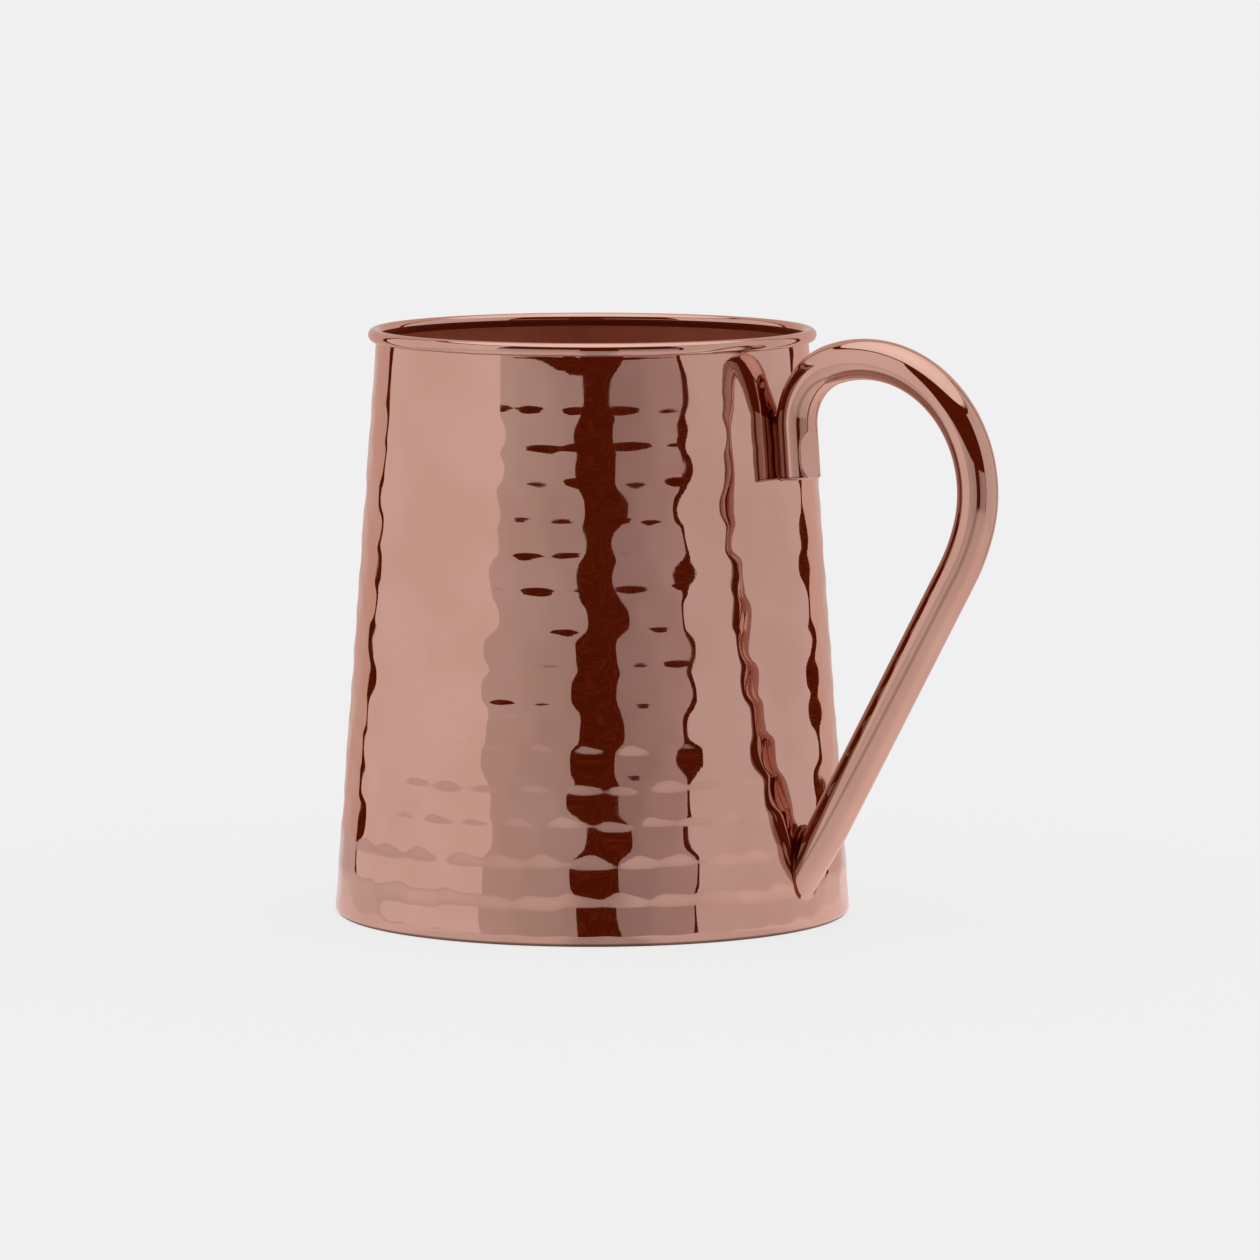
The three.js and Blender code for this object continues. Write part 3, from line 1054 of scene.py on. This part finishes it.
def standing_card(name, studio, start, end, low, high, shade, first_glow, last_glow):
    """A card that stands round the mug between two angles from the camera, to its right as it looks."""
    towards_camera = studio.view_turn - math.pi / 2
    first = towards_camera + start * DEG
    radius = studio.card_distance
    card = start_at(name, (radius * math.cos(first), radius * math.sin(first), low))
    bpy.ops.mesh.extrude_region_move(TRANSFORM_OT_translate={"value": (0, 0, high - low)})
    pick_all()
    sweep = (end - start) * DEG
    steps = max(2, math.ceil(abs(end - start) / 3))
    bpy.ops.mesh.spin(steps=steps, angle=-sweep, center=(0, 0, 0), axis=(0, 0, 1))
    leave_edit()
    glow = point_values(card, "glow")
    for vertex in card.data.vertices:
        beyond = (math.atan2(vertex.co.y, vertex.co.x) - first + 1 * DEG) % TURN - 1 * DEG
        glow.data[vertex.index].value = first_glow + (last_glow - first_glow) * beyond / sweep
    card.data.materials.append(card_glow(name, shade))
    stage_only(card, False, True)


# Each card: start and end angle, low and high edge in metres, tint, and brightness at its start and end.
CARDS = {
    "front_left_card": (-49.5, -6.3, -3.0, 0.53, (1.0, 0.96, 0.98), 0.67, 0.51),
    "front_right_card": (13.2, 44.8, -3.0, 0.53, (1.0, 0.9, 0.94), 0.4, 0.54),
    "left_card": (-130.3, -49.5, -3.0, 3.1, (1.0, 0.98, 1.0), 0.88, 0.91),
    "right_card": (47.4, 128.5, -3.0, 3.1, (1.0, 0.99, 1.02), 0.75, 0.79),
    "back_right_card": (133.8, 171, -3.0, 4.8, (1.0, 0.85, 0.81), 0.82, 0.68),
    "back_left_card": (-199, -135.3, -3.0, 4.8, (1.0, 0.83, 0.78), 0.64, 0.76),
}


# The lit table's brightness by angle from the camera, and how it darkens under the mug's foot.
TABLE_LIGHT = [(-180, 0.66), (-60, 0.72), (-49, 0.72), (-43, 0.66), (-9, 0.64), (-3, 0.42)]
TABLE_LIGHT += [(10, 0.42), (16, 0.63), (44, 0.66), (60, 0.8), (130, 0.8), (180, 0.66)]
FOOT_SHADE = [(0.0, 0.05), (0.0465, 0.25), (0.0471, 0.4), (0.0477, 1.22)]
FOOT_SHADE += [(0.1, 1.25), (0.8, 1.0), (1.0, 1.0)]


def stepped(table, place):
    """Read a table of places and values, in a straight line between its entries."""
    for (start, low), (end, high) in zip(table, table[1:]):
        if place <= end:
            return low + (high - low) * (place - start) / (end - start)
    return table[-1][1]


class MUG_OT_stage(bpy.types.Operator):
    """Set the floor, the cards, the light and the camera"""

    bl_idname = "mug.stage"
    bl_label = "Studio"

    def execute(self, context):
        scene = context.scene
        studio = scene.mug_studio
        self.lay_floor(studio)
        for name, card in CARDS.items():
            standing_card(name, studio, *card)
        self.hang_softbox(studio)
        self.light_room(scene, studio)
        self.place_camera(scene, studio)
        scene.view_settings.view_transform = "Standard"
        return {"FINISHED"}

    def lay_floor(self, studio):
        bpy.ops.mesh.primitive_plane_add(size=40)
        floor = named("pale_floor")
        shade = studio.floor
        floor.data.materials.append(self.floor_paint("pale_floor_paint", shade, 0.12))
        stage_only(floor, True, False)
        self.lay_table(studio)

    def lay_table(self, studio):
        """The lit table as reflections show it: dark under the mug's foot, and fading out at its edge."""
        rings = [0.001, 0.0465, 0.0471, 0.0477, 0.06, 0.09, 0.4, 0.8, 1.0]
        table = turned_piece("table_in_reflections", [(0, 0)] + [(ring, 0) for ring in rings], 180)
        glow = point_values(table, "glow")
        cover = point_values(table, "cover")
        towards_camera = studio.view_turn - math.pi / 2
        for vertex in table.data.vertices:
            distance = vertex.co.xy.length
            around = math.atan2(vertex.co.y, vertex.co.x) - towards_camera
            around = (around + math.pi) % TURN - math.pi
            glow.data[vertex.index].value = stepped(TABLE_LIGHT, around / DEG) * stepped(FOOT_SHADE, distance)
            cover.data[vertex.index].value = 1.0 if distance < 0.9 else 0.0
            if distance > 0.1:
                off_side = studio.table_forward * math.sin(around)
                ahead = studio.table_forward * math.cos(around)
                vertex.co.xy *= ahead + math.sqrt(studio.table_radius**2 - off_side**2)
        table.data.materials.append(card_glow("table_glow", (1.0, 0.97, 0.99), True))
        stage_only(table, False, True)

    def floor_paint(self, name, shade, lit_share):
        """Pale paint, part of whose brightness is its own, so that shadows on it stay faint."""
        material, recipe = empty_material(name)
        grain = recipe.between(recipe.speckle(0.05, 3.0), 0.3, 0.7, 0.998, 1.0)
        paint = recipe.blend(grain, (0.0, 0.0, 0.0), (shade * lit_share,) * 3)
        matt = recipe.add("ShaderNodeBsdfDiffuse", None, {"Color": paint})["BSDF"]
        own = {"Color": (1, 1, 1, 1), "Strength": shade * (1 - lit_share)}
        glow = recipe.add("ShaderNodeEmission", None, own)["Emission"]
        both = recipe.add("ShaderNodeAddShader", None, {0: matt, 1: glow})["Shader"]
        recipe.add("ShaderNodeOutputMaterial", None, {"Surface": both})
        material.cycles.emission_sampling = "NONE"
        return material

    def hang_softbox(self, studio):
        """A round softbox overhead, whose edge is crisp except beyond the handle."""
        box = turned_piece("overhead_softbox", [(0, 1.25), (0.97, 1.25), (0.972, 1.25)], 96)
        glow = point_values(box, "glow")
        cover = point_values(box, "cover")
        right = studio.view_turn + studio.soft_turn
        for vertex in box.data.vertices:
            distance = vertex.co.xy.length
            glow.data[vertex.index].value = 1.5 if distance < 0.1 else 1.22
            cover.data[vertex.index].value = 0.0 if distance > 0.971 else 1.0
            if distance > 0.971:
                beyond = max(math.cos(math.atan2(vertex.co.y, vertex.co.x) - right), 0.0)
                vertex.co.xy *= 1 + studio.soft_edge * beyond**2
        box.data.materials.append(card_glow("softbox_glow", (0.93, 0.98, 1.0), True))
        stage_only(box, False, True)

    def light_room(self, scene, studio):
        world = bpy.data.worlds.new("studio_room")
        world.use_nodes = True
        scene.world = world
        recipe = Recipe(world.node_tree)
        rays = recipe.add("ShaderNodeLightPath")
        even = {"Color": (1, 1, 1, 1), "Strength": 1 - (1 - studio.floor) * rays["Is Camera Ray"]}
        soft = recipe.add("ShaderNodeBackground", None, even)["Background"]
        noise_inputs = {"Scale": 30.0, "Detail": 3.0, "Distortion": 1.5}
        folds = recipe.add("ShaderNodeTexNoise", None, noise_inputs)["Fac"]
        veins = recipe.between(folds, 0.5, 0.62)
        dim = recipe.blend(veins, (0.095, 0.015, 0.003), (0.15, 0.026, 0.006))
        dim = recipe.blend(recipe.seen_twice(2.0), dim, (0.16, 0.045, 0.012))
        shade = recipe.add("ShaderNodeBackground", None, {"Color": dim, "Strength": 1.0})["Background"]
        inputs = {0: rays["Is Glossy Ray"], 1: soft, 2: shade}
        room = recipe.add("ShaderNodeMixShader", None, inputs)["Shader"]
        recipe.add("ShaderNodeOutputWorld", None, {"Surface": room})

    def place_camera(self, scene, studio):
        data = bpy.data.cameras.new("camera")
        camera = bpy.data.objects.new("camera", data)
        scene.collection.objects.link(camera)
        data.lens = studio.lens
        data.sensor_width = 36
        side = studio.view_turn - math.pi / 2
        camera.location = (
            studio.distance * math.cos(side),
            studio.distance * math.sin(side),
            studio.camera_height,
        )
        facing = side + math.pi - studio.yaw
        forward = Vector((math.cos(facing), math.sin(facing), 0)) * math.cos(studio.pitch)
        forward.z = -math.sin(studio.pitch)
        camera.rotation_euler = forward.to_track_quat("-Z", "Y").to_euler()
        scene.camera = camera


class MUG_PT_panel(bpy.types.Panel):
    """Builds the mug's pieces and its studio"""

    bl_idname = "MUG_PT_panel"
    bl_label = "Hammered copper mug"
    bl_space_type = "VIEW_3D"
    bl_region_type = "UI"
    bl_category = "Mug"

    def draw(self, context):
        layout = self.layout
        for operator in OPERATORS:
            layout.operator(operator.bl_idname)
        for group in GROUPS:
            box = layout.box()
            settings = getattr(context.scene, group)
            for name in settings.__annotations__:
                box.prop(settings, name)


OPERATORS = (MUG_OT_wall, MUG_OT_wire, MUG_OT_base, MUG_OT_handle, MUG_OT_brazes, MUG_OT_stage)
GROUPS = {
    "mug_sizes": MugSizes,
    "mug_marks": HammerMarks,
    "mug_handle": HandleSizes,
    "mug_finish": MugFinish,
    "mug_studio": Studio,
}


def register():
    for group in GROUPS.values():
        bpy.utils.register_class(group)
    for name, group in GROUPS.items():
        setattr(bpy.types.Scene, name, bpy.props.PointerProperty(type=group))
    for operator in OPERATORS:
        bpy.utils.register_class(operator)
    bpy.utils.register_class(MUG_PT_panel)


def unregister():
    bpy.utils.unregister_class(MUG_PT_panel)
    for operator in reversed(OPERATORS):
        bpy.utils.unregister_class(operator)
    for name, group in GROUPS.items():
        delattr(bpy.types.Scene, name)
        bpy.utils.unregister_class(group)


def main():
    register()
    bpy.ops.mug.wall()
    bpy.ops.mug.wire()
    bpy.ops.mug.base()
    bpy.ops.mug.handle()
    bpy.ops.mug.brazes()
    bpy.ops.mug.stage()


if __name__ == "__main__":
    main()
